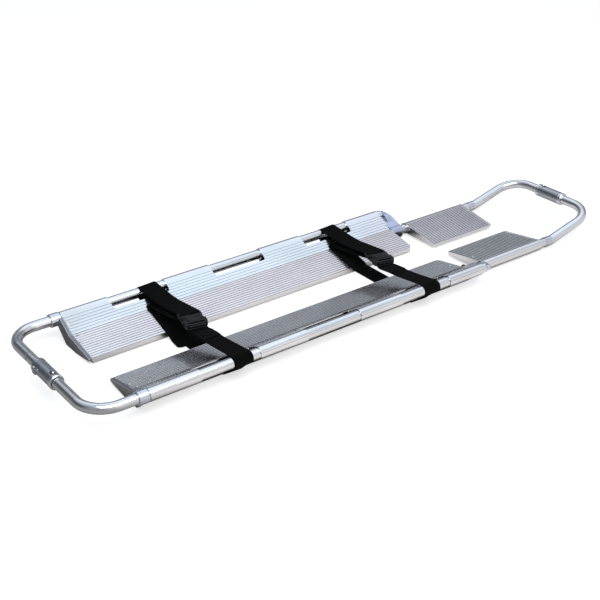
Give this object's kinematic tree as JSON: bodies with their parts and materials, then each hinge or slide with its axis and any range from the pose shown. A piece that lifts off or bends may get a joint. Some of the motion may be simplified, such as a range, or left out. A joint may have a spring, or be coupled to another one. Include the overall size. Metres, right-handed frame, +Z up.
{
  "type": "folding scoop stretcher",
  "caption": "Folding scoop stretcher: two hollow ribbed blades on tube rails that part down the middle, with a telescoping foot frame that folds over and belts.",
  "frame": {"origin": "on the floor, on the centre line, midway between the head end and the foot end with the foot frame pushed in", "axes": "+X towards the foot end, +Y towards the patient's left, +Z up"},
  "size_m": [1.6404, 0.4428, 0.0801],
  "materials": {
    "tubing": "satin anodised tube",
    "blade_skin": "satin anodised extrusion",
    "end_cap": "cast, satin",
    "trim_ring": "turned, satin",
    "rivet": "bright",
    "hinge_casting": "die cast, satin",
    "pin": "ground",
    "black_plastic": "moulded, matte",
    "coupling_body": "die cast, satin",
    "coupling_ring": "turned, bright",
    "button": "polished",
    "spring": "tempered strip",
    "spigot": "hard anodised, dark",
    "webbing": "woven polyester, matte",
    "buckle_plastic": "moulded, satin"
  },
  "bodies": {
    "right_main": {"right_rail_tube": "tubing", "right_blade": "blade_skin", "right_blade_cap": "end_cap", "right_collar": "trim_ring", "right_blade_rivets": "rivet", "right_hinge_plug": "hinge_casting", "right_hinge_pin": "pin", "head_spigot": "spigot", "chest_belt_right_web": "webbing", "leg_belt_right_web": "webbing", "chest_belt_socket": "buckle_plastic", "leg_belt_socket": "buckle_plastic"},
    "head_coupling": {"head_sleeve": "coupling_body", "head_sleeve_rings": "coupling_ring", "head_sleeve_rivets": "rivet", "head_button_spring": "spring", "head_knuckle": "tubing", "head_knuckle_pin": "pin"},
    "head_release": {"head_button": "button"},
    "left_main": {"left_rail_tube": "tubing", "left_blade": "blade_skin", "left_blade_cap": "end_cap", "left_collar": "trim_ring", "left_blade_rivets": "rivet", "left_hinge_plug": "hinge_casting", "left_hinge_pin": "pin", "head_tongue": "tubing", "chest_belt_left_web": "webbing", "leg_belt_left_web": "webbing", "chest_belt_lower_web": "webbing", "leg_belt_lower_web": "webbing", "chest_belt_tongue": "buckle_plastic", "leg_belt_tongue": "buckle_plastic"},
    "right_arm": {"right_hinge_arm": "hinge_casting"},
    "right_lock": {"right_length_knob": "black_plastic"},
    "right_foot": {"right_foot_tube": "tubing", "right_tail_plug": "black_plastic", "right_foot_plate": "blade_skin", "right_plate_rivets": "rivet", "right_foot_band": "trim_ring", "foot_sleeve": "coupling_body", "foot_sleeve_rings": "coupling_ring", "foot_sleeve_rivets": "rivet", "foot_button_spring": "spring"},
    "foot_release": {"foot_button": "button"},
    "left_arm": {"left_hinge_arm": "hinge_casting"},
    "left_lock": {"left_length_knob": "black_plastic"},
    "left_foot": {"left_foot_tube": "tubing", "left_tail_plug": "black_plastic", "left_foot_plate": "blade_skin", "left_plate_rivets": "rivet", "left_foot_band": "trim_ring", "foot_spigot": "spigot"}
  },
  "joints": [
    {"name": "halves_separate", "type": "slide", "parent": "right_main", "child": "head_coupling", "axis": [0, 1, 0], "range_m": [0, 0.3]},
    {"name": "scissor_open", "type": "hinge", "parent": "head_coupling", "child": "left_main", "pos_m": [-0.8, 0.072, 0.051], "axis": [0, 0, 1], "range_deg": [0, 75]},
    {"name": "head_button_press", "type": "slide", "parent": "head_coupling", "child": "head_release", "axis": [0, 0, -1], "range_m": [0, 0.003], "stiffness_N_per_m": 800, "springref_m": -0.002, "deforming": ["head_button_spring"]},
    {"name": "foot_fold", "type": "hinge", "parent": "right_main", "child": "right_arm", "pos_m": [0.3284, -0.2, 0.051], "axis": [0, -1, 0], "range_deg": [0, 180], "deforming": ["chest_belt_right_web", "chest_belt_left_web", "leg_belt_right_web", "leg_belt_left_web"]},
    {"name": "left_foot_fold", "type": "hinge", "parent": "left_main", "child": "left_arm", "pos_m": [0.3284, 0.2, 0.051], "axis": [0, -1, 0], "range_deg": [0, 180]},
    {"name": "foot_extend", "type": "slide", "parent": "right_arm", "child": "right_foot", "axis": [1, 0, 0], "range_m": [0, 0.345]},
    {"name": "left_foot_extend", "type": "slide", "parent": "left_arm", "child": "left_foot", "axis": [1, 0, 0], "range_m": [0, 0.345]},
    {"name": "foot_button_press", "type": "slide", "parent": "right_foot", "child": "foot_release", "axis": [0, 0, -1], "range_m": [0, 0.003], "stiffness_N_per_m": 800, "springref_m": -0.002, "deforming": ["foot_button_spring"]},
    {"name": "right_length_unlock", "type": "slide", "parent": "right_arm", "child": "right_lock", "axis": [0, 1, 0], "range_m": [0, 0.006]},
    {"name": "left_length_unlock", "type": "slide", "parent": "left_arm", "child": "left_lock", "axis": [0, -1, 0], "range_m": [0, 0.006]}
  ],
  "couplings": [
    {"joint": "left_foot_fold", "follows": "foot_fold", "ratio": 1},
    {"joint": "left_foot_extend", "follows": "foot_extend", "ratio": 1}
  ]
}
